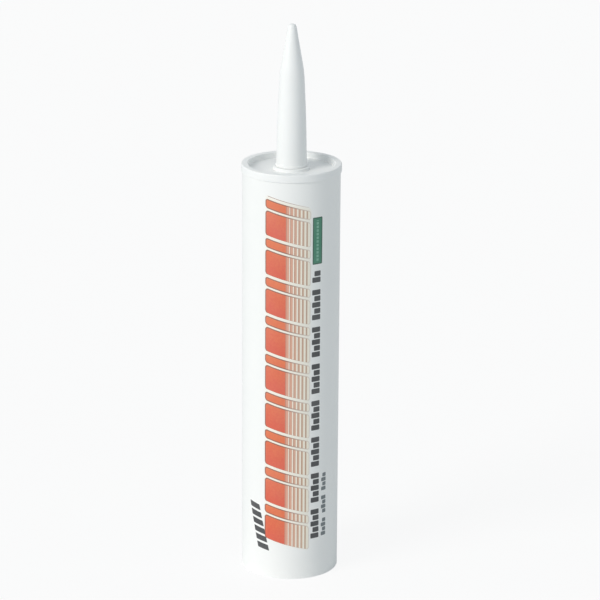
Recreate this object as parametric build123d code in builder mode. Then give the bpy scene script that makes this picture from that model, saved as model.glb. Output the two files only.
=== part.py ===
from build123d import *
import os

# Caulk cartridge: a wound paper tube with a moulded end closure, a long two-stage nozzle, a foil
# seal, the sealant and the plunger that a caulking gun pushes. Millimetres, +Z up.
# The origin is the centre of the open rear rim, where the tube stands, and +Z runs to the nozzle tip.

# Tube, wound from paper with a foil liner and a white outer ply
tube_diameter = 50.0
tube_wall = 1.5
tube_length = 216.0

# End closure, a one-piece moulding that plugs the tube and laps over its top edge
lip_overhang = 0.5      # how far the lip stands out past the tube, each side
lip_grip = 3.0          # how far the lip comes down outside the tube
lip_top = 1.0           # thickness of the lip over the tube's edge
lip_squeeze = 0.3       # how much the lip has pressed the paper in
lip_round = 0.6
skirt_wall = 1.4
skirt_depth = 9.0       # how far the plug skirt goes down inside the tube
recess_depth = 3.0      # from the rim down to the sunken panel
web_thickness = 1.6
hub_wall = 1.5
hub_height = 1.6
recess_round = 0.5

# Nozzle: straight barrel, slow taper, then a quick taper to a closed tip that the user cuts
nozzle_base_radius = 7.75
nozzle_barrel_height = 25.0     # the three heights are above the rim
nozzle_barrel_radius = 7.2
nozzle_shoulder_height = 47.0
nozzle_shoulder_radius = 6.15
nozzle_length = 71.4
nozzle_tip_radius = 1.9
nozzle_tip_round = 1.2
nozzle_bend_radius = 45.0
nozzle_wall = 1.2
nozzle_tip_wall = 2.0
flange_overhang = 3.3           # how far the retaining flange reaches under the panel
flange_thickness = 1.2
bead_height = 1.2               # snap bead that locks the nozzle above the hub
bead_overhang = 0.35

# Foil seal across the nozzle's foot
seal_margin = 0.6               # how far the foil stays inside the flange's edge
seal_thickness = 0.15

# Plunger, a moulded cup that opens to the rear
plunger_recess = 13.5           # from the rear rim to the plunger's skirt
plunger_length = 20.0
plunger_face = 1.6
plunger_skirt_wall = 1.3
wiper_height = 2.4
wiper_relief = 0.7              # how far the skirt stands back from its wiper lips
wiper_round = 0.5
push_ring_radius = 11.0
push_ring_width = 1.6
rib_count = 8
rib_width = 1.2
rib_height = 1.2

# Fits
press_gap = 0.03                # glued or pressed pieces of the barrel
paste_gap = 0.05                # sealant against the walls that hold it
running_gap = 0.08              # plunger lips in the tube, on the radius
end_gap = 0.3                   # left between the plunger and the closure at full travel

# Places and sizes that follow from the values above
tube_radius = tube_diameter / 2
bore_radius = tube_radius - tube_wall
rim_z = tube_length + lip_top
lip_radius = tube_radius + lip_overhang
lip_bottom_z = tube_length - lip_grip
skirt_radius = bore_radius - press_gap
skirt_inner_radius = skirt_radius - skirt_wall
skirt_bottom_z = tube_length - skirt_depth
web_top_z = rim_z - recess_depth
web_bottom_z = web_top_z - web_thickness
hub_bore_radius = nozzle_base_radius + press_gap
hub_radius = hub_bore_radius + hub_wall
hub_top_z = web_top_z + hub_height
bead_bottom_z = hub_top_z + press_gap
bead_top_z = bead_bottom_z + bead_height
bead_radius = nozzle_base_radius + bead_overhang
flange_radius = nozzle_base_radius + flange_overhang
flange_bottom_z = web_bottom_z - flange_thickness
tip_z = rim_z + nozzle_length
barrel_z = rim_z + nozzle_barrel_height
shoulder_z = rim_z + nozzle_shoulder_height
seal_radius = flange_radius - seal_margin
seal_bottom_z = flange_bottom_z - seal_thickness
plunger_rear_z = plunger_recess
plunger_front_z = plunger_rear_z + plunger_length
plunger_floor_z = plunger_front_z - plunger_face
wiper_radius = bore_radius - running_gap
plunger_skirt_radius = wiper_radius - wiper_relief
plunger_inner_radius = plunger_skirt_radius - plunger_skirt_wall
plunger_travel = skirt_bottom_z - end_gap - plunger_front_z

os.makedirs("parts", exist_ok=True)


# Tube: one wound cylinder, its top edge pressed in where the lip grips it.
with BuildPart() as tube_body:
    with BuildSketch():
        Circle(tube_radius)
        Circle(bore_radius, mode=Mode.SUBTRACT)
    extrude(amount=tube_length)
    with BuildSketch(Plane.XY.offset(lip_bottom_z)):
        Circle(tube_radius)
        Circle(tube_radius - lip_squeeze, mode=Mode.SUBTRACT)
    extrude(amount=lip_grip, mode=Mode.SUBTRACT)

tube_body.part.label = "tube_body"
export_step(tube_body.part, "parts/tube_body.step")


# End closure: lip outside the tube, skirt inside it, a sunken panel, and a hub that the nozzle
# passes through.
with BuildPart() as end_closure:
    with BuildSketch(Plane.XZ):
        with BuildLine():
            Polyline(
                (hub_bore_radius, web_bottom_z),
                (skirt_inner_radius, web_bottom_z),
                (skirt_inner_radius, skirt_bottom_z),
                (skirt_radius, skirt_bottom_z),
                (skirt_radius, tube_length + press_gap),
                (tube_radius - lip_squeeze + press_gap, tube_length + press_gap),
                (tube_radius - lip_squeeze + press_gap, lip_bottom_z),
                (lip_radius, lip_bottom_z),
                (lip_radius, rim_z),
                (skirt_inner_radius, rim_z),
                (skirt_inner_radius, web_top_z),
                (hub_radius, web_top_z),
                (hub_radius, hub_top_z),
                (hub_bore_radius, hub_top_z),
                close=True,
            )
        make_face()
    revolve(axis=Axis.Z)
    rim_edges = end_closure.edges().filter_by(GeomType.CIRCLE).group_by(Axis.Z)[-1]
    fillet(rim_edges.sort_by(SortBy.RADIUS)[-1], lip_round)
    rim_edges = end_closure.edges().filter_by(GeomType.CIRCLE).group_by(Axis.Z)[-1]
    fillet(rim_edges.sort_by(SortBy.RADIUS)[0], recess_round)
    panel_edges = end_closure.edges().filter_by(GeomType.CIRCLE).filter_by_position(
        Axis.Z, web_top_z, web_top_z
    )
    fillet(panel_edges, recess_round)

end_closure.part.label = "end_closure"
export_step(end_closure.part, "parts/end_closure.step")


# Nozzle: one hollow moulding, pushed up through the hub from inside until its snap bead is
# through. The flange under the panel holds it against the push of the sealant.
with BuildPart() as nozzle:
    with BuildSketch(Plane.XZ) as nozzle_outside:
        with BuildLine():
            Polyline(
                (0, flange_bottom_z),
                (flange_radius, flange_bottom_z),
                (flange_radius, web_bottom_z),
                (nozzle_base_radius, web_bottom_z),
                (nozzle_base_radius, bead_bottom_z),
                (bead_radius, bead_bottom_z + bead_overhang),
                (nozzle_base_radius, bead_top_z),
                (nozzle_barrel_radius, barrel_z),
                (nozzle_shoulder_radius, shoulder_z),
                (nozzle_tip_radius, tip_z),
                (0, tip_z),
                close=True,
            )
        make_face()
        corners = nozzle_outside.vertices().sort_by(Axis.Y)
        fillet(corners.filter_by_position(Axis.Y, barrel_z, shoulder_z), nozzle_bend_radius)
        fillet(corners.group_by(Axis.Y)[-1].sort_by(Axis.X)[-1], nozzle_tip_round)
    revolve(axis=Axis.Z)
    with BuildSketch(Plane.XZ) as nozzle_inside:
        with BuildLine():
            Polyline(
                (0, flange_bottom_z),
                (nozzle_base_radius - nozzle_wall, flange_bottom_z),
                (nozzle_barrel_radius - nozzle_wall, barrel_z),
                (nozzle_shoulder_radius - nozzle_wall, shoulder_z),
                (nozzle_tip_radius - nozzle_wall, tip_z - nozzle_tip_wall),
                (0, tip_z - nozzle_tip_wall),
                close=True,
            )
        make_face()
        bends = nozzle_inside.vertices().filter_by_position(Axis.Y, barrel_z, shoulder_z)
        fillet(bends, nozzle_bend_radius)
    revolve(axis=Axis.Z, mode=Mode.SUBTRACT)

nozzle.part.label = "nozzle"
export_step(nozzle.part, "parts/nozzle.step")


# Foil seal: a thin disc heat-sealed under the nozzle's flange, pierced before the first use.
with BuildPart() as foil_seal:
    with BuildSketch(Plane.XY.offset(seal_bottom_z)):
        Circle(seal_radius)
    extrude(amount=seal_thickness)

foil_seal.part.label = "foil_seal"
export_step(foil_seal.part, "parts/foil_seal.step")


# Sealant: fills the tube from the plunger's face up into the closure, round the nozzle's flange.
with BuildPart() as sealant:
    with BuildSketch(Plane.XZ):
        with BuildLine():
            Polyline(
                (0, plunger_front_z),
                (bore_radius - paste_gap, plunger_front_z),
                (bore_radius - paste_gap, skirt_bottom_z - paste_gap),
                (skirt_inner_radius - paste_gap, skirt_bottom_z - paste_gap),
                (skirt_inner_radius - paste_gap, web_bottom_z - paste_gap),
                (flange_radius + paste_gap, web_bottom_z - paste_gap),
                (flange_radius + paste_gap, seal_bottom_z - paste_gap),
                (0, seal_bottom_z - paste_gap),
                close=True,
            )
        make_face()
    revolve(axis=Axis.Z)

sealant.part.label = "sealant"
export_step(sealant.part, "parts/sealant.step")


# Plunger: a cup with a wiper lip at each end of its skirt, and a ring and ribs on the rear of its
# face where the gun's plate pushes.
with BuildPart() as plunger:
    with BuildSketch(Plane.XY.offset(plunger_rear_z)):
        Circle(plunger_skirt_radius)
    extrude(amount=plunger_length)
    for wiper_z in (plunger_rear_z, plunger_front_z - wiper_height):
        with BuildSketch(Plane.XY.offset(wiper_z)):
            Circle(wiper_radius)
        extrude(amount=wiper_height)
    wiper_edges = plunger.edges().filter_by(GeomType.CIRCLE).group_by(SortBy.RADIUS)[-1]
    fillet(wiper_edges, wiper_round)
    with BuildSketch(Plane.XY.offset(plunger_rear_z)):
        Circle(plunger_inner_radius)
    extrude(amount=plunger_length - plunger_face, mode=Mode.SUBTRACT)
    with BuildSketch(Plane.XY.offset(plunger_floor_z - rib_height)) as push_ribs:
        Circle(push_ring_radius)
        Circle(push_ring_radius - push_ring_width, mode=Mode.SUBTRACT)
        rib_length = plunger_inner_radius - push_ring_radius + push_ring_width
        with PolarLocations(plunger_inner_radius - rib_length / 2, rib_count):
            Rectangle(rib_length, rib_width)
        Circle(plunger_inner_radius, mode=Mode.INTERSECT)
    extrude(amount=rib_height)

plunger.part.label = "plunger"
export_step(plunger.part, "parts/plunger.step")

print(f"overall height {tip_z:.1f} mm, across the lip {2 * lip_radius:.1f} mm")
print(f"plunger face at {plunger_front_z:.1f} mm, travel {plunger_travel:.1f} mm")
print(f"sealant {sealant.part.volume / 1000:.0f} ml")
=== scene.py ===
# %% [markdown]
# # A caulk tube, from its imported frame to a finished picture
#
# The tube is a small assembly: a wound paper cylinder with a white printed ply, a moulded end with a
# long nozzle, a foil seal, the sealant and a plunger in the open rear end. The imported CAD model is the
# fixed frame. It says how big each piece is, where it sits and how far the plunger travels. This file
# models what the eye sees over it, and gives each piece its finish.

from math import cos, pi, radians, sin

import bmesh
import bpy
from mathutils import Matrix, Vector


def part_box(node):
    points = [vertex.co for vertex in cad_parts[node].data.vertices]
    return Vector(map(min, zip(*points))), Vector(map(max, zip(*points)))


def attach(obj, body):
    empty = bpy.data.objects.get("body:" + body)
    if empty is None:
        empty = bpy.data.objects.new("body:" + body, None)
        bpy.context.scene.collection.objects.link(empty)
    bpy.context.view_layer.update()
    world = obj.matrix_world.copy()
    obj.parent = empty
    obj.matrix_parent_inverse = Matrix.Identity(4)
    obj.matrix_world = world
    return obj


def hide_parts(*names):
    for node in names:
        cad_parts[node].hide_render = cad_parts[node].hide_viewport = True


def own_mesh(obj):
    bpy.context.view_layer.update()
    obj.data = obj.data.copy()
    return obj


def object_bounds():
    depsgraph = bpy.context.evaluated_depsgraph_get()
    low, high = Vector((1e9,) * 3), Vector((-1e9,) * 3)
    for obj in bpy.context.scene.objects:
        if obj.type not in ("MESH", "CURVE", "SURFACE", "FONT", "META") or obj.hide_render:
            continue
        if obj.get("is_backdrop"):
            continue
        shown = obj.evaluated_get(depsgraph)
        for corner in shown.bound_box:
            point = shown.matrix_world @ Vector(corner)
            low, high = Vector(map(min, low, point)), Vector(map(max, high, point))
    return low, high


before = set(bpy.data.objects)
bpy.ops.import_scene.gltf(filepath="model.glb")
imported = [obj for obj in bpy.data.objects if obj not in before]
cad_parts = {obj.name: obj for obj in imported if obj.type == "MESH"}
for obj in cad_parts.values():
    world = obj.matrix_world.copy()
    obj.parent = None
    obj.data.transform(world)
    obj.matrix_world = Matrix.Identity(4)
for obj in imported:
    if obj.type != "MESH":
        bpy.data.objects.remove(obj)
cad_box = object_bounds()

MM = 0.001

# %% [markdown]
# ## Sizes that every piece shares
#
# Each size is read from the frame where the frame has it, so that a picture never disagrees with the
# model that moves. What the boxes cannot say, such as the wall of the tube, is a named value here.

# %% Shared sizes
_, tube_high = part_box("tube_body")
end_low, end_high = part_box("end_closure")
nozzle_low, nozzle_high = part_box("nozzle")
paste_low, paste_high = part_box("sealant")
plunger_low, plunger_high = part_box("plunger")

TUBE_WALL = 1.5 * MM
LIP_GRIP = 3 * MM
RECESS_DEPTH = 3 * MM
PANEL_THICKNESS = 1.6 * MM
ROUND_STEPS = 144

tube_radius = tube_high.x
tube_top = tube_high.z
bore_radius = tube_radius - TUBE_WALL
lip_radius = end_high.x
lip_bottom = tube_top - LIP_GRIP
rim = end_high.z
skirt_bottom = end_low.z
panel_top = rim - RECESS_DEPTH
panel_bottom = panel_top - PANEL_THICKNESS

print(f"tube {tube_radius * 2:.4f} m across, {rim:.4f} m to the rim, {nozzle_high.z:.4f} m to the tip")

# %% [markdown]
# ## Helpers for turned pieces
#
# Almost every piece of a cartridge is round, because it was wound on a mandrel or moulded on a turned
# core. So one helper spins an outline once about the Z axis. An outline that starts and ends on the
# axis makes a solid of revolution, and a closed outline makes a ring. A spin can leave the faces
# pointing inwards, so the doubles are merged first and the normals are worked out after that.
#
# A moulded edge is never knife sharp. The second helper finds the rings of edges at a radius and
# height and bevels them, which is how the rounding of each lip and step is made.


# %% Spin an outline and round its rings
def spun(outline, closed=False, steps=ROUND_STEPS):
    bm = bmesh.new()
    points = [bm.verts.new((radius, 0, height)) for radius, height in outline]
    lines = [bm.edges.new(pair) for pair in zip(points, points[1:])]
    if closed:
        lines.append(bm.edges.new((points[-1], points[0])))
    bmesh.ops.spin(
        bm, geom=points + lines, cent=(0, 0, 0), axis=(0, 0, 1), angle=2 * pi, steps=steps, use_merge=True
    )
    bmesh.ops.remove_doubles(bm, verts=bm.verts, dist=1e-7)
    bmesh.ops.recalc_face_normals(bm, faces=bm.faces)
    return bm


SAME_PLACE = 2e-6


def on_ring(vert, ring):
    radius, height = ring
    return abs(vert.co.xy.length - radius) < SAME_PLACE and abs(vert.co.z - height) < SAME_PLACE


def round_rings(bm, rings, size, segments=4):
    found = [
        edge for edge in bm.edges
        for ring in rings
        if on_ring(edge.verts[0], ring) and on_ring(edge.verts[1], ring)
    ]
    bmesh.ops.bevel(
        bm, geom=found, offset=size, segments=segments, profile=0.5, affect="EDGES", material=-1,
        clamp_overlap=True,
    )


def piece_from(bm, name, *materials, body="barrel"):
    """Turns a bmesh into a shaded piece at the origin that rides on a body of the frame."""
    for face in bm.faces:
        face.smooth = True
    for edge in bm.edges:
        if len(edge.link_faces) == 2:
            edge.smooth = edge.calc_face_angle(0) < radians(40)
    mesh = bpy.data.meshes.new(name)
    bm.to_mesh(mesh)
    bm.free()
    piece = bpy.data.objects.new(name, mesh)
    bpy.context.scene.collection.objects.link(piece)
    for material in materials:
        mesh.materials.append(material)
    even = piece.modifiers.new("even shading", "WEIGHTED_NORMAL")
    even.keep_sharp = True
    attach(piece, body)
    print(f"{name}: {len(mesh.vertices)} points, {len(mesh.polygons)} faces")
    return piece


# %% [markdown]
# ## Helpers for materials
#
# A finish here is a small recipe of nodes. Every recipe starts from the piece's own Object
# coordinates, in metres, so the grain stays the same size on each piece and stays with it when it
# moves. `calculate` adds one Math node and takes sockets or plain numbers, so a recipe reads like
# ordinary arithmetic.


# %% Node helpers
def new_finish(name, roughness, specular=0.5):
    material = bpy.data.materials.new(name)
    material.use_nodes = True
    shader = material.node_tree.nodes["Principled BSDF"]
    shader.inputs["Roughness"].default_value = roughness
    shader.inputs["Specular IOR Level"].default_value = specular
    return material, material.node_tree, shader


def plug(tree, socket, value):
    if isinstance(value, bpy.types.NodeSocket):
        tree.links.new(value, socket)
    else:
        socket.default_value = value


def calculate(tree, operation, *values, clamp=False):
    node = tree.nodes.new("ShaderNodeMath")
    node.operation = operation
    node.use_clamp = clamp
    for socket, value in zip(node.inputs, values):
        plug(tree, socket, value)
    return node.outputs[0]


def blend_colours(tree, share, below, above):
    node = tree.nodes.new("ShaderNodeMix")
    node.data_type = "RGBA"
    plug(tree, node.inputs["Factor"], share)
    plug(tree, node.inputs["A"], below)
    plug(tree, node.inputs["B"], above)
    return node.outputs["Result"]


def object_place(tree):
    """The place on the piece as X, Y and Z sockets, and as one vector."""
    place = tree.nodes.new("ShaderNodeTexCoord").outputs["Object"]
    parts = tree.nodes.new("ShaderNodeSeparateXYZ")
    tree.links.new(place, parts.inputs[0])
    return parts.outputs[0], parts.outputs[1], parts.outputs[2], place


def cloudy(tree, place, per_metre, detail=4.0, stretch=(1, 1, 1)):
    """Noise with so many features to the metre, stretched if the grain has a direction."""
    mapping = tree.nodes.new("ShaderNodeMapping")
    mapping.inputs["Scale"].default_value = stretch
    tree.links.new(place, mapping.inputs["Vector"])
    noise = tree.nodes.new("ShaderNodeTexNoise")
    noise.inputs["Scale"].default_value = per_metre
    noise.inputs["Detail"].default_value = detail
    tree.links.new(mapping.outputs[0], noise.inputs["Vector"])
    return noise.outputs["Fac"]


def raise_surface(tree, shader, height, strength=1.0):
    """Feeds a height in metres to the shader as bump."""
    bump = tree.nodes.new("ShaderNodeBump")
    bump.inputs["Strength"].default_value = strength
    bump.inputs["Distance"].default_value = 1.0
    tree.links.new(height, bump.inputs["Height"])
    tree.links.new(bump.outputs["Normal"], shader.inputs["Normal"])


def screen_colour(red, green, blue):
    """A colour as read off a screen, 0 to 255, as the linear colour that a shader wants."""
    def linear(part):
        part = part / 255
        return part / 12.92 if part <= 0.04045 else ((part + 0.055) / 1.055) ** 2.4
    return (linear(red), linear(green), linear(blue), 1.0)


# %% [markdown]
# ## The camera
#
# The tube is seen from in front and a little above, through a long lens that hardly narrows it
# towards the foot. The lens is chosen so that the whole cartridge, nozzle and all, fills the height
# of the frame, and the camera leans by a fraction of a degree, as a hand-placed one does.

# %% Camera
CAMERA_DISTANCE = 1.5
CAMERA_HEIGHT_ANGLE = radians(17.5)
CAMERA_LEAN = radians(0.36)
LOOK_RIGHT_OF_AXIS = 4.7 * MM
SENSOR_WIDTH, FOCAL_LENGTH = 36, 175.5

middle = Vector((0, 0, (cad_box[0].z + cad_box[1].z) / 2))
stand = middle + CAMERA_DISTANCE * Vector((0, -cos(CAMERA_HEIGHT_ANGLE), sin(CAMERA_HEIGHT_ANGLE)))
look_at = middle + Vector((LOOK_RIGHT_OF_AXIS, 0, 0))
lens = bpy.data.cameras.new("camera")
lens.sensor_width = SENSOR_WIDTH
lens.lens = FOCAL_LENGTH
camera = bpy.data.objects.new("camera", lens)
bpy.context.scene.collection.objects.link(camera)
turn = (look_at - stand).to_track_quat("-Z", "Y").to_matrix().to_4x4()
camera.matrix_world = Matrix.Translation(stand) @ turn @ Matrix.Rotation(CAMERA_LEAN, 4, "Z")
bpy.context.scene.camera = camera
print("camera at", [round(x, 3) for x in stand])

# %% [markdown]
# ## Light and background
#
# A white pack on a white ground needs light that comes from all round, with one soft key lamp from
# the upper left to shape it. The key is a sun with a wide disc, so that it lights the floor evenly
# however far it reaches. The fill is the world, a little cooler than the key, so the shaded right
# side turns blue-grey. What the camera sees directly is plain white, by Light Path, and so is what
# gloss reflects, but the world that lights the pack is held down so that nothing clips.

# %% World and key lamp
scene = bpy.context.scene
scene.view_settings.view_transform = "Standard"

FILL_STRENGTH = 0.52
KEY_STRENGTH = 1.75
KEY_FROM = Vector((-0.78, -0.62, 0.5))
KEY_WIDTH = radians(28)

world = bpy.data.worlds.new("studio")
scene.world = world
world.use_nodes = True
sky = world.node_tree
fill = sky.nodes["Background"]
fill.inputs["Color"].default_value = (0.86, 0.945, 1.0, 1)
fill.inputs["Strength"].default_value = FILL_STRENGTH
white = sky.nodes.new("ShaderNodeBackground")
white.inputs["Color"].default_value = (1, 1, 1, 1)
seen = sky.nodes.new("ShaderNodeLightPath")
reflected = calculate(sky, "MAXIMUM", seen.outputs["Is Glossy Ray"], seen.outputs["Is Transmission Ray"])
direct = calculate(sky, "MAXIMUM", seen.outputs["Is Camera Ray"], reflected)
choice = sky.nodes.new("ShaderNodeMixShader")
sky.links.new(direct, choice.inputs[0])
sky.links.new(fill.outputs[0], choice.inputs[1])
sky.links.new(white.outputs[0], choice.inputs[2])
sky.links.new(choice.outputs[0], sky.nodes["World Output"].inputs["Surface"])

key = bpy.data.lights.new("key", "SUN")
key.energy = KEY_STRENGTH
key.angle = KEY_WIDTH
key.color = (1.0, 0.975, 0.94)
key_lamp = bpy.data.objects.new("key", key)
scene.collection.objects.link(key_lamp)
key_lamp.rotation_mode = "QUATERNION"
key_lamp.rotation_quaternion = KEY_FROM.to_track_quat("Z", "Y")
print("key lamp", KEY_STRENGTH, "fill", FILL_STRENGTH)

# %% [markdown]
# ## The floor
#
# A pale, plain floor that runs out of the picture on every side. It takes the tube's shadow. To the
# camera it is mostly its own white, by Light Path, so that it meets the background without a line,
# and the rest is ordinary paint, which is what carries the shadow.

# %% Floor
FLOOR_REACH = 12.0
FLOOR_OWN_WHITE = 0.88

floor_finish, floor_tree, floor_paint = new_finish("pale floor", 0.9, 0.2)
_, _, _, floor_place = object_place(floor_tree)
floor_grain = cloudy(floor_tree, floor_place, 60, 3)
floor_tone = blend_colours(
    floor_tree, floor_grain, screen_colour(243, 243, 242), screen_colour(247, 247, 247)
)
floor_tree.links.new(floor_tone, floor_paint.inputs["Base Color"])
floor_white = floor_tree.nodes.new("ShaderNodeEmission")
floor_path = floor_tree.nodes.new("ShaderNodeLightPath")
floor_seen = calculate(
    floor_tree, "MULTIPLY", floor_path.outputs["Is Camera Ray"], FLOOR_OWN_WHITE
)
floor_choice = floor_tree.nodes.new("ShaderNodeMixShader")
floor_tree.links.new(floor_seen, floor_choice.inputs[0])
floor_tree.links.new(floor_paint.outputs[0], floor_choice.inputs[1])
floor_tree.links.new(floor_white.outputs[0], floor_choice.inputs[2])
floor_tree.links.new(floor_choice.outputs[0], floor_tree.nodes["Material Output"].inputs["Surface"])

floor_bm = bmesh.new()
bmesh.ops.create_grid(floor_bm, x_segments=1, y_segments=1, size=FLOOR_REACH)
floor_mesh = bpy.data.meshes.new("floor")
floor_bm.to_mesh(floor_mesh)
floor_bm.free()
floor = bpy.data.objects.new("floor", floor_mesh)
scene.collection.objects.link(floor)
floor_mesh.materials.append(floor_finish)
floor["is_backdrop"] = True
print("floor", FLOOR_REACH * 2, "m across")

# %% [markdown]
# ## The printed ply: what is on it
#
# The outside of the tube is a white coated paper with a print on its front. The print here is plain
# decoration: a long band of slanted bars in orange that fades to salmon and tan stripes, rows of
# small black blocks beside it, a green panel and a short run of black slants at the lower left.
# Nothing in it is a letter, a name or a badge.
#
# An image would be the usual way. A recipe of nodes does it as well, stays sharp at any distance and
# needs no file. The paper is read as if unrolled: `across` is the way round the tube from the middle
# of the front, and `up` is the height, both in millimetres. Each shape is then a rectangle with
# rounded corners, measured by its distance field: below zero inside, above zero outside.

# %% Unroll the tube
ply_finish, ply_tree, ply_shader = new_finish("printed paper", 0.42, 0.38)
ply_x, ply_y, ply_z, ply_place = object_place(ply_tree)
facing = calculate(ply_tree, "MULTIPLY", ply_y, -1.0)
round_angle = calculate(ply_tree, "ARCTAN2", ply_x, facing)
across = calculate(ply_tree, "MULTIPLY", round_angle, tube_radius / MM)
up = calculate(ply_tree, "MULTIPLY", ply_z, 1 / MM)


def ink(operation, *values, clamp=False):
    return calculate(ply_tree, operation, *values, clamp=clamp)


def past_edge(place, centre, half, corner):
    """How far a place is beyond a shape's straight edge, less the corner's radius."""
    away = ink("ABSOLUTE", ink("SUBTRACT", place, centre))
    return ink("SUBTRACT", away, half - corner)


def rounded_box(place_across, place_up, centre_across, centre_up, half_across, half_up, corner):
    """Distance to a box with rounded corners, below zero inside it."""
    side = past_edge(place_across, centre_across, half_across, corner)
    end = past_edge(place_up, centre_up, half_up, corner)
    outside_side = ink("MAXIMUM", side, 0.0)
    outside_end = ink("MAXIMUM", end, 0.0)
    outside = ink("SQRT", ink("ADD", ink("MULTIPLY", outside_side, outside_side),
                              ink("MULTIPLY", outside_end, outside_end)))
    inside = ink("MINIMUM", ink("MAXIMUM", side, end), 0.0)
    return ink("SUBTRACT", ink("ADD", outside, inside), corner)


def cover(distance, grow=0.0, soft=0.14):
    """1 inside a shape and 0 outside, with an edge as soft as printed ink. grow widens the shape."""
    return ink("MULTIPLY_ADD", ink("SUBTRACT", grow, distance), 1 / soft, 0.5, clamp=True)


def both(one, other):
    return ink("MULTIPLY", one, other)


# %% [markdown]
# ## The band of slanted bars
#
# The band runs up the middle of the front. Its bars repeat: a wide one, a gap, a narrow one, a gap.
# The bars slope down to the right. On the left they are solid orange with a dark outline. To the
# right they break into stripes that run the length of the tube and get thinner and paler, as a
# screen-printed fade does. A faint cream tint lies under the band.

# %% Band shapes
BAND_LEFT, BAND_SOLID_TO, BAND_RIGHT = -13.2, -2.6, 9.9
BAND_FROM, BAND_TO = 18.6, 202.0
SLOPE = 0.26
REPEAT = 20.4
WIDE_BAR, NARROW_BAR, BAR_GAP = 12.6, 4.0, 1.9
STRIPES = 6

band_middle = (BAND_LEFT + BAND_RIGHT) / 2
band_half = (BAND_RIGHT - BAND_LEFT) / 2
slanted_up = ink("ADD", up, ink("MULTIPLY", across, SLOPE))
along_repeat = ink("FLOORED_MODULO", ink("SUBTRACT", slanted_up, BAND_FROM), REPEAT)
wide_bar = rounded_box(across, along_repeat, band_middle, WIDE_BAR / 2, band_half, WIDE_BAR / 2, 1.5)
narrow_bar = rounded_box(
    across, along_repeat, band_middle, WIDE_BAR + BAR_GAP + NARROW_BAR / 2, band_half, NARROW_BAR / 2, 1.1
)
all_bars = ink("MINIMUM", wide_bar, narrow_bar)
band_extent = rounded_box(
    across, slanted_up, band_middle, (BAND_FROM + BAND_TO) / 2, band_half, (BAND_TO - BAND_FROM) / 2, 1.5
)
bars = ink("MAXIMUM", all_bars, band_extent)

solid_part = cover(ink("SUBTRACT", across, BAND_SOLID_TO))
stripe_pitch = (BAND_RIGHT - BAND_SOLID_TO) / STRIPES
from_solid = ink("SUBTRACT", across, BAND_SOLID_TO)
stripe_place = ink("FLOORED_MODULO", from_solid, stripe_pitch)
fade = ink("DIVIDE", from_solid, BAND_RIGHT - BAND_SOLID_TO, clamp=True)
stripe_width = ink("MULTIPLY_ADD", fade, -1.15, stripe_pitch - 0.25)
stripe = cover(ink("SUBTRACT", stripe_place, stripe_width))
print("bars:", int((BAND_TO - BAND_FROM) / REPEAT), "wide and as many narrow")
stripe_edge = cover(ink("SUBTRACT", ink("ABSOLUTE", ink("SUBTRACT", stripe_place, 0.2)), 0.16))

# %% [markdown]
# Ink laid on paper is never one flat tone. The orange shifts from red to yellow along each bar, and a
# fine noise breaks it up a little, as a coarse screen would.

# %% Band colours
PAPER_WHITE = screen_colour(247, 247, 245)
CREAM = screen_colour(248, 241, 224)
RED_ORANGE = screen_colour(222, 84, 50)
ORANGE = screen_colour(232, 120, 62)
OUTLINE_BROWN = screen_colour(140, 74, 44)
SALMON = screen_colour(226, 160, 134)
TAN = screen_colour(206, 184, 158)
STRIPE_BROWN = screen_colour(172, 112, 88)
BLACK_INK = screen_colour(26, 26, 30)
SLATE_INK = screen_colour(74, 88, 94)
GREEN = screen_colour(44, 128, 98)
DARK_GREEN = screen_colour(16, 82, 58)
PALE_GREEN = screen_colour(128, 186, 160)

ink_cloud = cloudy(ply_tree, ply_place, 900, 3)
bar_share = ink("DIVIDE", along_repeat, REPEAT)
orange_share = ink("MULTIPLY_ADD", ink_cloud, 0.9, ink("SUBTRACT", bar_share, 0.55), clamp=True)
orange_tone = blend_colours(ply_tree, orange_share, RED_ORANGE, ORANGE)
fade_tone = blend_colours(ply_tree, fade, SALMON, TAN)
striped_tone = blend_colours(ply_tree, stripe, CREAM, fade_tone)
striped_tone = blend_colours(ply_tree, both(stripe_edge, 0.75), striped_tone, STRIPE_BROWN)
bar_tone = blend_colours(ply_tree, solid_part, striped_tone, orange_tone)

band_tint = both(cover(band_extent, grow=0.2, soft=1.6), 0.75)
print_tone = blend_colours(ply_tree, band_tint, PAPER_WHITE, CREAM)
outline = both(cover(bars, grow=0.45), ink("SUBTRACT", 1.0, cover(bars, grow=-0.1)))
outline_share = both(outline, ink("MULTIPLY_ADD", fade, -0.75, 0.95))
print_tone = blend_colours(ply_tree, cover(bars), print_tone, bar_tone)
print_tone = blend_colours(ply_tree, outline_share, print_tone, OUTLINE_BROWN)

# %% [markdown]
# ## The black rows, the green panel and the slants
#
# Beside the band stands a row of small black blocks, tall and short by turns with a space after every
# fifth, then a finer grey row near the foot. Above the black row sits a green panel with a dark rim.
# At the lower left a leaning strip is cut into black slants.

# %% Rows of blocks
ROW_ACROSS, ROW_FROM, ROW_TO = 13.6, 21.4, 166.4
BLOCK_PITCH, BLOCKS_IN_GROUP = 3.3, 5
FINE_ACROSS, FINE_FROM, FINE_TO = 19.2, 21.8, 58.0
FINE_PITCH, FINE_IN_GROUP = 2.5, 4
BLOCK_SHARE, BLOCK_CORNER = 0.42, 0.45
BLOCK_TALL, BLOCK_SHORT = 4.9, 3.7
FINE_TALL, FINE_SHORT = 3.2, 2.4
BLACK_COVER, FINE_COVER = 0.97, 0.9


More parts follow.
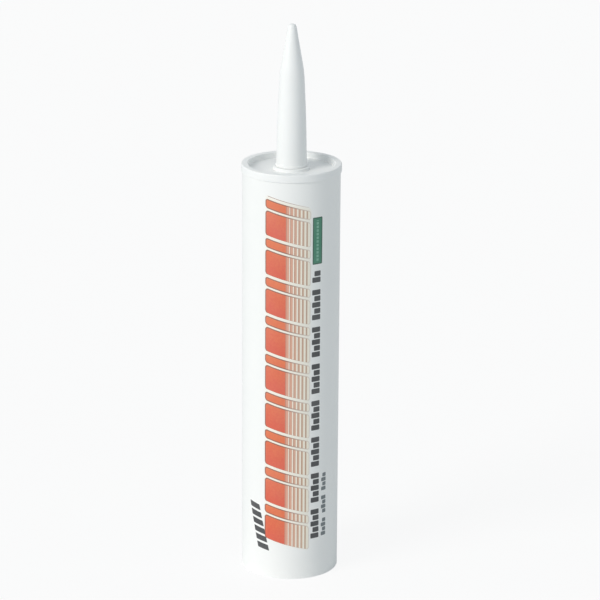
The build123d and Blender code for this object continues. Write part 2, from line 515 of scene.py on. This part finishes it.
def block_row(centre, start, stop, pitch, group, tall, short):
    """A column of blocks up the tube, in groups with one block left out between them."""
    number = ink("FLOOR", ink("DIVIDE", ink("SUBTRACT", up, start), pitch))
    along = ink("FLOORED_MODULO", ink("SUBTRACT", up, start), pitch)
    odd = ink("FLOORED_MODULO", number, 2.0)
    in_group = ink("FLOORED_MODULO", number, group + 1.0)
    kept = ink("LESS_THAN", in_group, group - 0.5)
    big = rounded_box(across, along, centre, pitch / 2, tall / 2, pitch * BLOCK_SHARE, BLOCK_CORNER)
    small_centre = centre + (tall - short) / 2
    small = rounded_box(
        across, along, small_centre, pitch / 2, short / 2, pitch * BLOCK_SHARE, BLOCK_CORNER
    )
    shape = blend_numbers(odd, big, small)
    row_range = rounded_box(
        across, up, centre, (start + stop) / 2, tall, (stop - start) / 2, 0.1
    )
    return both(both(cover(shape), kept), cover(row_range))


def blend_numbers(share, at_zero, at_one):
    return ink("MULTIPLY_ADD", share, ink("SUBTRACT", at_one, at_zero), at_zero)


black_row = block_row(
    ROW_ACROSS, ROW_FROM, ROW_TO, BLOCK_PITCH, BLOCKS_IN_GROUP, BLOCK_TALL, BLOCK_SHORT
)
fine_row = block_row(
    FINE_ACROSS, FINE_FROM, FINE_TO, FINE_PITCH, FINE_IN_GROUP, FINE_TALL, FINE_SHORT
)
print_tone = blend_colours(ply_tree, both(black_row, BLACK_COVER), print_tone, BLACK_INK)
print_tone = blend_colours(ply_tree, both(fine_row, FINE_COVER), print_tone, SLATE_INK)

# %% Green panel
PANEL_ACROSS, PANEL_FROM, PANEL_TO, PANEL_WIDTH = 14.1, 169.8, 194.4, 5.7
panel = rounded_box(
    across, up, PANEL_ACROSS, (PANEL_FROM + PANEL_TO) / 2, PANEL_WIDTH / 2, (PANEL_TO - PANEL_FROM) / 2, 0.5
)
panel_line = ink("SUBTRACT", ink("ABSOLUTE", ink("SUBTRACT", across, PANEL_ACROSS)), 0.65)
panel_beads = ink("SUBTRACT", 0.55, ink("FLOORED_MODULO", up, 1.9))
panel_inner = both(cover(panel, grow=-1.6), both(cover(panel_line), cover(panel_beads)))
panel_tone = blend_colours(ply_tree, cover(panel, grow=-0.6, soft=0.5), DARK_GREEN, GREEN)
panel_tone = blend_colours(ply_tree, both(panel_inner, 0.8), panel_tone, PALE_GREEN)
print_tone = blend_colours(ply_tree, cover(panel), print_tone, panel_tone)

# %% Slants at the lower left
SLANT_CENTRE_ACROSS, SLANT_CENTRE_UP = -17.4, 27.6
SLANT_LEAN = radians(14)
SLANT_WIDTH, SLANT_PITCH, SLANTS = 6.4, 4.4, 6
strip_across = ink("SUBTRACT", across, SLANT_CENTRE_ACROSS)
strip_up = ink("SUBTRACT", up, SLANT_CENTRE_UP)
strip_side = ink(
    "ADD", ink("MULTIPLY", strip_across, cos(SLANT_LEAN)), ink("MULTIPLY", strip_up, sin(SLANT_LEAN))
)
strip_along = ink(
    "SUBTRACT", ink("MULTIPLY", strip_up, cos(SLANT_LEAN)), ink("MULTIPLY", strip_across, sin(SLANT_LEAN))
)
strip_cut = ink("MULTIPLY_ADD", strip_side, 0.42, strip_along)
slant_place = ink("FLOORED_MODULO", strip_cut, SLANT_PITCH)
slant_shape = rounded_box(
    strip_side, slant_place, 0.0, SLANT_PITCH / 2, SLANT_WIDTH / 2, SLANT_PITCH * 0.36, 0.35
)
slant_range = rounded_box(
    strip_side, strip_cut, 0.0, 0.0, SLANT_WIDTH, SLANT_PITCH * SLANTS / 2, 0.1
)
slants = both(cover(slant_shape), cover(slant_range))
print_tone = blend_colours(ply_tree, both(slants, BLACK_COVER), print_tone, BLACK_INK)
print("nodes in the print:", len(ply_tree.nodes))

# %% [markdown]
# ## The printed ply: the paper itself
#
# Under the print the paper is smooth and lightly coated. Two things show in raking light: a very fine
# unevenness of the coating, and the helical edges of the board plies below, which telegraph through
# as soft steps that climb the tube. Two plies share each pitch, so a step climbs half of it in one
# turn, and meets itself where it crosses the back.

# %% Paper surface
HELIX_PITCH = 92.0
STEP_HEIGHT = 0.035 * MM
COATING_HEIGHT = 0.004 * MM

round_share = ink("DIVIDE", across, 2 * pi * tube_radius / MM)
helix = ink("FLOORED_MODULO", ink("ADD", ink("DIVIDE", up, HELIX_PITCH / 2), round_share), 1.0)
ply_step = ink("MULTIPLY", ink("POWER", ink("SUBTRACT", 1.0, helix), 14.0), STEP_HEIGHT)
coating = ink("MULTIPLY", cloudy(ply_tree, ply_place, 1400, 2), COATING_HEIGHT)
raise_surface(ply_tree, ply_shader, ink("ADD", ply_step, coating), 0.8)

paper_cloud = cloudy(ply_tree, ply_place, 35, 2)
soft_shade = blend_colours(
    ply_tree, both(paper_cloud, 0.16), print_tone, screen_colour(226, 229, 230)
)
ply_tree.links.new(soft_shade, ply_shader.inputs["Base Color"])
ink_cover = ink("MAXIMUM", cover(bars), ink("MAXIMUM", black_row, cover(panel)))
gloss_change = ink("MULTIPLY_ADD", ink_cover, -0.08, 0.42)
ply_tree.links.new(ink("MULTIPLY_ADD", ink_cloud, 0.06, gloss_change), ply_shader.inputs["Roughness"])
ply_shader.inputs["Coat Weight"].default_value = 0.05
ply_shader.inputs["Coat Roughness"].default_value = 0.25

# %% [markdown]
# ## The printed ply: the shape
#
# A cartridge's label ply is wound on last and its edge laps over its own start at the back. It is a
# thin ring of paper, so it is a closed outline spun once, with the lap raised by pushing the outside
# points out over a few millimetres of the back. It stops just under the moulded lip.
#
# The piece brings its own UV map. Its outside takes nearly the whole square, since that is where the
# print is, and the inside and the cut edges share a thin strip.

# %% Build the printed ply
PRESS_GAP = 0.03 * MM
PLY_DEPTH = 0.2 * MM
LAP_ROOM = 0.06 * MM
PLY_INSIDE = tube_radius - PLY_DEPTH
PLY_OUTSIDE = tube_radius - LAP_ROOM
PLY_TOP = lip_bottom - PRESS_GAP
LAP_WIDTH = 6 * MM
LAP_RISE = 0.055 * MM
PRINT_STRIP = 0.08
PLY_STEPS = 192

ply = spun(
    [(PLY_INSIDE, 0), (PLY_OUTSIDE, 0), (PLY_OUTSIDE, PLY_TOP), (PLY_INSIDE, PLY_TOP)],
    closed=True, steps=PLY_STEPS,
)
for vert in ply.verts:
    round_from_back = abs(vert.co.x) if vert.co.y > 0 else LAP_WIDTH
    if vert.co.xy.length > PLY_OUTSIDE - 1e-6 and 0 <= round_from_back < LAP_WIDTH and vert.co.x >= 0:
        lap = LAP_RISE * (1 - vert.co.x / LAP_WIDTH)
        vert.co.xy *= 1 + lap / PLY_OUTSIDE

print_map = ply.loops.layers.uv.new("OFBake")
for face in ply.faces:
    middle_of_face = face.calc_center_median()
    out_side = all(loop.vert.co.xy.length > PLY_OUTSIDE - 1e-6 for loop in face.loops)
    in_side = all(loop.vert.co.xy.length < PLY_INSIDE + 1e-6 for loop in face.loops)
    face_turn = middle_of_face.xy.angle_signed(Vector((0, -1)))
    for loop in face.loops:
        share = 0.5 + (face_turn + Vector(loop.vert.co.xy).angle_signed(middle_of_face.xy)) / (2 * pi)
        height = loop.vert.co.z / PLY_TOP
        edge_share = (loop.vert.co.xy.length - PLY_INSIDE) / (PLY_OUTSIDE + LAP_RISE - PLY_INSIDE)
        if out_side:
            row = PRINT_STRIP + (1 - PRINT_STRIP) * height
        elif in_side:
            row = 0.03 * height
        else:
            row = (0.04 if height < 0.5 else 0.06) + 0.01 * edge_share
        loop[print_map].uv = (share, row)
printed_ply = piece_from(ply, "printed_ply", ply_finish)
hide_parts("tube_body")

# %% [markdown]
# ## The board and its foil lining
#
# Under the label the wall is several plies of grey-brown board, seen only at the cut rear edge as
# fine rings. The bore is lined with foil so that the sealant does not dry out. Both are plain rings.
# The board steps in by a hair at the top, where the moulded lip grips it.

# %% Board and lining
LINING = 0.055 * MM
BOARD_PLY = 0.22 * MM
FIBRE_HEIGHT = 0.04 * MM
CRINKLE_HEIGHT = 0.02 * MM

board_finish, board_tree, board_shader = new_finish("wound board", 0.8, 0.3)
board_x, board_y, _, board_place = object_place(board_tree)
board_radius = calculate(
    board_tree, "SQRT",
    calculate(board_tree, "ADD", calculate(board_tree, "MULTIPLY", board_x, board_x),
              calculate(board_tree, "MULTIPLY", board_y, board_y)),
)
ply_rings = calculate(
    board_tree, "PINGPONG", calculate(board_tree, "MULTIPLY", board_radius, 1 / BOARD_PLY), 1.0
)
board_fibre = cloudy(board_tree, board_place, 1800, 4)
board_share = calculate(board_tree, "MULTIPLY_ADD", ply_rings, 0.45, calculate(
    board_tree, "MULTIPLY", board_fibre, 0.5))
board_tone = blend_colours(
    board_tree, board_share, screen_colour(150, 136, 118), screen_colour(198, 186, 168)
)
board_tree.links.new(board_tone, board_shader.inputs["Base Color"])
raise_surface(board_tree, board_shader, calculate(board_tree, "MULTIPLY", board_fibre, FIBRE_HEIGHT))

lining_finish, lining_tree, lining_shader = new_finish("foil lining", 0.34)
lining_shader.inputs["Metallic"].default_value = 1.0
_, _, _, lining_place = object_place(lining_tree)
lining_cloud = cloudy(lining_tree, lining_place, 500, 3)
lining_tone = blend_colours(
    lining_tree, lining_cloud, screen_colour(196, 198, 200), screen_colour(222, 223, 224)
)
lining_tree.links.new(lining_tone, lining_shader.inputs["Base Color"])
raise_surface(
    lining_tree, lining_shader, calculate(lining_tree, "MULTIPLY", lining_cloud, CRINKLE_HEIGHT)
)

LIP_SQUEEZE = 0.3 * MM
BOARD_GAP = 0.01 * MM
LINING_GAP = 0.005 * MM
GRIPPED_RADIUS = tube_radius - LIP_SQUEEZE - BOARD_GAP
board_inside = bore_radius + LINING + LINING_GAP
board_outside = PLY_INSIDE - BOARD_GAP
board = spun(
    [
        (board_inside, 0), (board_outside, 0), (board_outside, PLY_TOP), (GRIPPED_RADIUS, PLY_TOP),
        (GRIPPED_RADIUS, tube_top), (board_inside, tube_top),
    ],
    closed=True,
)
paper_core = piece_from(board, "paper_core", board_finish)
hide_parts("tube_body")

lining = spun(
    [
        (bore_radius, 0), (bore_radius + LINING, 0),
        (bore_radius + LINING, tube_top), (bore_radius, tube_top),
    ],
    closed=True,
)
foil_liner = piece_from(lining, "foil_liner", lining_finish)
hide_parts("tube_body")

# %% [markdown]
# ## Moulded plastic
#
# The end, the nozzle and the plunger are all moulded polyethylene. The white ones are satin, with a
# trace of light passing under the skin. The finish changes slightly from place to place, as a mould
# face does. The plunger is natural plastic, so it is milkier.


# %% Plastic finishes
SKIN_HEIGHT = 0.006 * MM


def moulded_plastic(name, light, shaded, roughness, depth):
    material, tree, shader = new_finish(name, roughness, 0.42)
    _, _, _, place = object_place(tree)
    flow = cloudy(tree, place, 90, 3, stretch=(1, 1, 0.3))
    skin = cloudy(tree, place, 2600, 2)
    tree.links.new(blend_colours(tree, flow, shaded, light), shader.inputs["Base Color"])
    tree.links.new(
        calculate(tree, "MULTIPLY_ADD", flow, 0.08, roughness - 0.04), shader.inputs["Roughness"]
    )
    raise_surface(tree, shader, calculate(tree, "MULTIPLY", skin, SKIN_HEIGHT))
    shader.inputs["Subsurface Weight"].default_value = 0.12
    shader.inputs["Subsurface Scale"].default_value = depth
    shader.inputs["Subsurface Radius"].default_value = (1.0, 0.95, 0.9)
    return material


end_finish = moulded_plastic(
    "white end plastic", screen_colour(248, 248, 246), screen_colour(243, 244, 243), 0.42, 0.8 * MM
)
nozzle_finish = moulded_plastic(
    "white nozzle plastic", screen_colour(249, 249, 247), screen_colour(245, 246, 245), 0.38, 1.2 * MM
)
plunger_finish = moulded_plastic(
    "natural plastic", screen_colour(232, 232, 226), screen_colour(224, 224, 218), 0.5, 1.5 * MM
)

# %% [markdown]
# ## The moulded end
#
# One moulding closes the front: a lip that laps over the edge of the tube, a skirt that plugs its
# bore, a sunken panel and a short hub round the nozzle. It is one closed outline spun once. The rings
# that show are rounded, more on the outside of the lip, where a hand meets it.

# %% Build the end
SKIRT_WALL = 1.4 * MM
FOOT_RADIUS = 7.75 * MM
HUB_WALL = 1.5 * MM
HUB_HEIGHT = 1.6 * MM
OUTER_ROUND, INNER_ROUND, HIDDEN_ROUND = 0.6 * MM, 0.4 * MM, 0.2 * MM

skirt_outside = bore_radius - PRESS_GAP
skirt_inside = skirt_outside - SKIRT_WALL
lip_inside = tube_radius - LIP_SQUEEZE + PRESS_GAP
hub_inside = FOOT_RADIUS + PRESS_GAP
hub_outside = hub_inside + HUB_WALL
hub_top = panel_top + HUB_HEIGHT

end = spun(
    [
        (lip_inside, lip_bottom), (lip_radius, lip_bottom), (lip_radius, rim), (skirt_inside, rim),
        (skirt_inside, panel_top), (hub_outside, panel_top), (hub_outside, hub_top),
        (hub_inside, hub_top), (hub_inside, panel_bottom), (skirt_inside, panel_bottom),
        (skirt_inside, skirt_bottom), (skirt_outside, skirt_bottom), (skirt_outside, tube_top),
        (lip_inside, tube_top),
    ],
    closed=True,
)
round_rings(end, [(lip_radius, rim)], OUTER_ROUND, 5)
recess_rings = [(skirt_inside, rim), (skirt_inside, panel_top)]
hub_rings = [(hub_outside, panel_top), (hub_outside, hub_top)]
round_rings(end, recess_rings + hub_rings, INNER_ROUND, 4)
hidden_rings = [(lip_radius, lip_bottom), (hub_inside, hub_top), (skirt_outside, skirt_bottom)]
round_rings(end, hidden_rings, HIDDEN_ROUND, 3)
end_piece = piece_from(end, "moulded_end", end_finish)
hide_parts("end_closure")

# %% [markdown]
# ## The nozzle
#
# The nozzle is moulded on its own and snaps into the hub: a flange below, a bead above. It tapers
# slowly, then faster to a closed, rounded tip that the user cuts. It is hollow, so the outline runs
# up the inside to the axis as well as up the outside.

# %% Build the nozzle
flange_radius = nozzle_high.x
flange_bottom = nozzle_low.z
tip = nozzle_high.z
FLANGE_THICKNESS = 1.2 * MM
BEAD_OVERHANG = 0.35 * MM
BEAD_HEIGHT = 1.2 * MM
BEAD_ROUND = 0.18 * MM
TIP_WALL = 2.5 * MM
TIP_BORE = 0.8 * MM
TIP_ROUND = 1.2 * MM
TAPER_ROUND = 3.5 * MM
BARREL_RADIUS = 7.2 * MM
BARREL_HEIGHT = 25 * MM
SHOULDER_RADIUS = 6.15 * MM
SHOULDER_HEIGHT = 47 * MM
TIP_RADIUS = 1.9 * MM
NOZZLE_WALL = 1.2 * MM

flange_top = flange_bottom + FLANGE_THICKNESS
bead_radius = FOOT_RADIUS + BEAD_OVERHANG
bead_bottom = hub_top + PRESS_GAP
bead_top = bead_bottom + BEAD_HEIGHT
barrel_top = rim + BARREL_HEIGHT
shoulder_top = rim + SHOULDER_HEIGHT

nozzle = spun(
    [
        (0, tip - TIP_WALL), (TIP_BORE, tip - TIP_WALL),
        (SHOULDER_RADIUS - NOZZLE_WALL, shoulder_top), (BARREL_RADIUS - NOZZLE_WALL, barrel_top),
        (FOOT_RADIUS - NOZZLE_WALL, flange_bottom), (flange_radius, flange_bottom),
        (flange_radius, flange_top), (FOOT_RADIUS, flange_top), (FOOT_RADIUS, bead_bottom),
        (bead_radius, bead_bottom), (bead_radius, bead_top), (FOOT_RADIUS, bead_top),
        (BARREL_RADIUS, barrel_top), (SHOULDER_RADIUS, shoulder_top), (TIP_RADIUS, tip), (0, tip),
    ],
    steps=96,
)
round_rings(nozzle, [(TIP_RADIUS, tip)], TIP_ROUND, 6)
round_rings(nozzle, [(BARREL_RADIUS, barrel_top), (SHOULDER_RADIUS, shoulder_top)], TAPER_ROUND, 6)
round_rings(nozzle, [(bead_radius, bead_top), (bead_radius, bead_bottom)], BEAD_ROUND, 3)
nozzle_piece = piece_from(nozzle, "nozzle_shell", nozzle_finish)
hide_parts("nozzle")

# %% [markdown]
# ## The foil seal
#
# The seal is a flat disc of foil, and the frame's own shape is right, so it stays and takes only a
# finish.

# %% Finish the foil seal
seal_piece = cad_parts["foil_seal"]
seal_piece.data.materials.clear()
seal_piece.data.materials.append(lining_finish)
print("foil seal keeps", len(seal_piece.data.polygons), "faces of the frame")

# %% [markdown]
# ## The sealant
#
# The filling is in two pieces. The column is what the plunger pushes, so it shortens towards the
# front as the plunger comes up. The neck beyond it sits inside the end and never moves.

# %% Sealant
PASTE_WAVE = 0.05 * MM
paste_finish, paste_tree, paste_shader = new_finish("white paste", 0.35, 0.5)
_, _, _, paste_place = object_place(paste_tree)
paste_cloud = cloudy(paste_tree, paste_place, 260, 3)
paste_tone = blend_colours(
    paste_tree, paste_cloud, screen_colour(232, 231, 226), screen_colour(242, 241, 237)
)
paste_tree.links.new(paste_tone, paste_shader.inputs["Base Color"])
raise_surface(paste_tree, paste_shader, calculate(paste_tree, "MULTIPLY", paste_cloud, PASTE_WAVE))

column_radius = paste_high.x
PASTE_GAP = 0.05 * MM
FLANGE_HOLLOW = 0.2 * MM
column_top = skirt_bottom - PASTE_GAP
column_bottom = paste_low.z
neck_radius = skirt_inside - PASTE_GAP
flange_room = flange_radius + PASTE_GAP
flange_room_floor = flange_bottom - FLANGE_HOLLOW

neck = spun([
    (0, column_top), (neck_radius, column_top), (neck_radius, paste_high.z),
    (flange_room, paste_high.z), (flange_room, flange_room_floor), (0, flange_room_floor),
])
neck_piece = piece_from(neck, "sealant_neck", paste_finish)
column = spun([
    (0, column_bottom), (column_radius, column_bottom), (column_radius, column_top), (0, column_top),
])
column_piece = piece_from(column, "sealant_column", paste_finish)
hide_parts("sealant")
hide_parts("sealant")
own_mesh(column_piece)

# %% [markdown]
# ## The plunger
#
# The plunger is a moulded cup with two wiping lips that scrape the bore. Its open side faces the
# rear, where the gun's plate pushes on a ring and eight ribs on its floor. The cup and ring are one
# spun outline. Each rib is a small block sunk a little into the floor and walls.

# %% Build the plunger
WIPER_RELIEF = 0.7 * MM
CUP_WALL = 1.3 * MM
WIPER_ROUND, RING_ROUND = 0.4 * MM, 0.2 * MM
LIP_HEIGHT = 2.4 * MM
FACE = 1.6 * MM
RING_OUTSIDE, RING_INSIDE = 11.0 * MM, 9.4 * MM
RIB_HEIGHT, RIB_WIDTH, RIBS, SUNK = 1.2 * MM, 1.2 * MM, 8, 0.2 * MM

wiper = plunger_high.x
cup_outside = wiper - WIPER_RELIEF
cup_inside = cup_outside - CUP_WALL
cup_floor = plunger_high.z - FACE
cup = spun([
    (0, plunger_high.z), (wiper, plunger_high.z), (wiper, plunger_high.z - LIP_HEIGHT),
    (cup_outside, plunger_high.z - LIP_HEIGHT), (cup_outside, plunger_low.z + LIP_HEIGHT),
    (wiper, plunger_low.z + LIP_HEIGHT), (wiper, plunger_low.z), (cup_inside, plunger_low.z),
    (cup_inside, cup_floor), (RING_OUTSIDE, cup_floor), (RING_OUTSIDE, cup_floor - RIB_HEIGHT),
    (RING_INSIDE, cup_floor - RIB_HEIGHT), (RING_INSIDE, cup_floor), (0, cup_floor),
])
wiper_rings = [(wiper, plunger_high.z), (wiper, plunger_low.z), (cup_inside, plunger_low.z)]
round_rings(cup, wiper_rings, WIPER_ROUND, 3)
ring_rings = [(RING_OUTSIDE, cup_floor - RIB_HEIGHT), (RING_INSIDE, cup_floor - RIB_HEIGHT)]
round_rings(cup, ring_rings, RING_ROUND, 2)
rib_middle = (RING_OUTSIDE + cup_inside) / 2
rib_length = cup_inside - RING_OUTSIDE + 2 * SUNK
rib_size = Matrix.Diagonal((rib_length, RIB_WIDTH, RIB_HEIGHT + SUNK, 1))
for number in range(RIBS):
    rib_turn = Matrix.Rotation(2 * pi * number / RIBS, 4, "Z")
    rib_place = Matrix.Translation((rib_middle, 0, cup_floor - RIB_HEIGHT / 2 + SUNK))
    bmesh.ops.create_cube(cup, size=1, matrix=rib_turn @ rib_place @ rib_size)
plunger_piece = piece_from(cup, "plunger_cup", plunger_finish, body="plunger")
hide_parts("plunger")

# %% [markdown]
# ## Print the two boxes and finish
#
# The visual may not reach outside the frame's own box, so both are written down side by side.

# %% Write the sizes
visual_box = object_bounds()
for name, corners in (("frame", cad_box), ("visual", visual_box)):
    print(name, [[round(x, 5) for x in corner] for corner in corners])
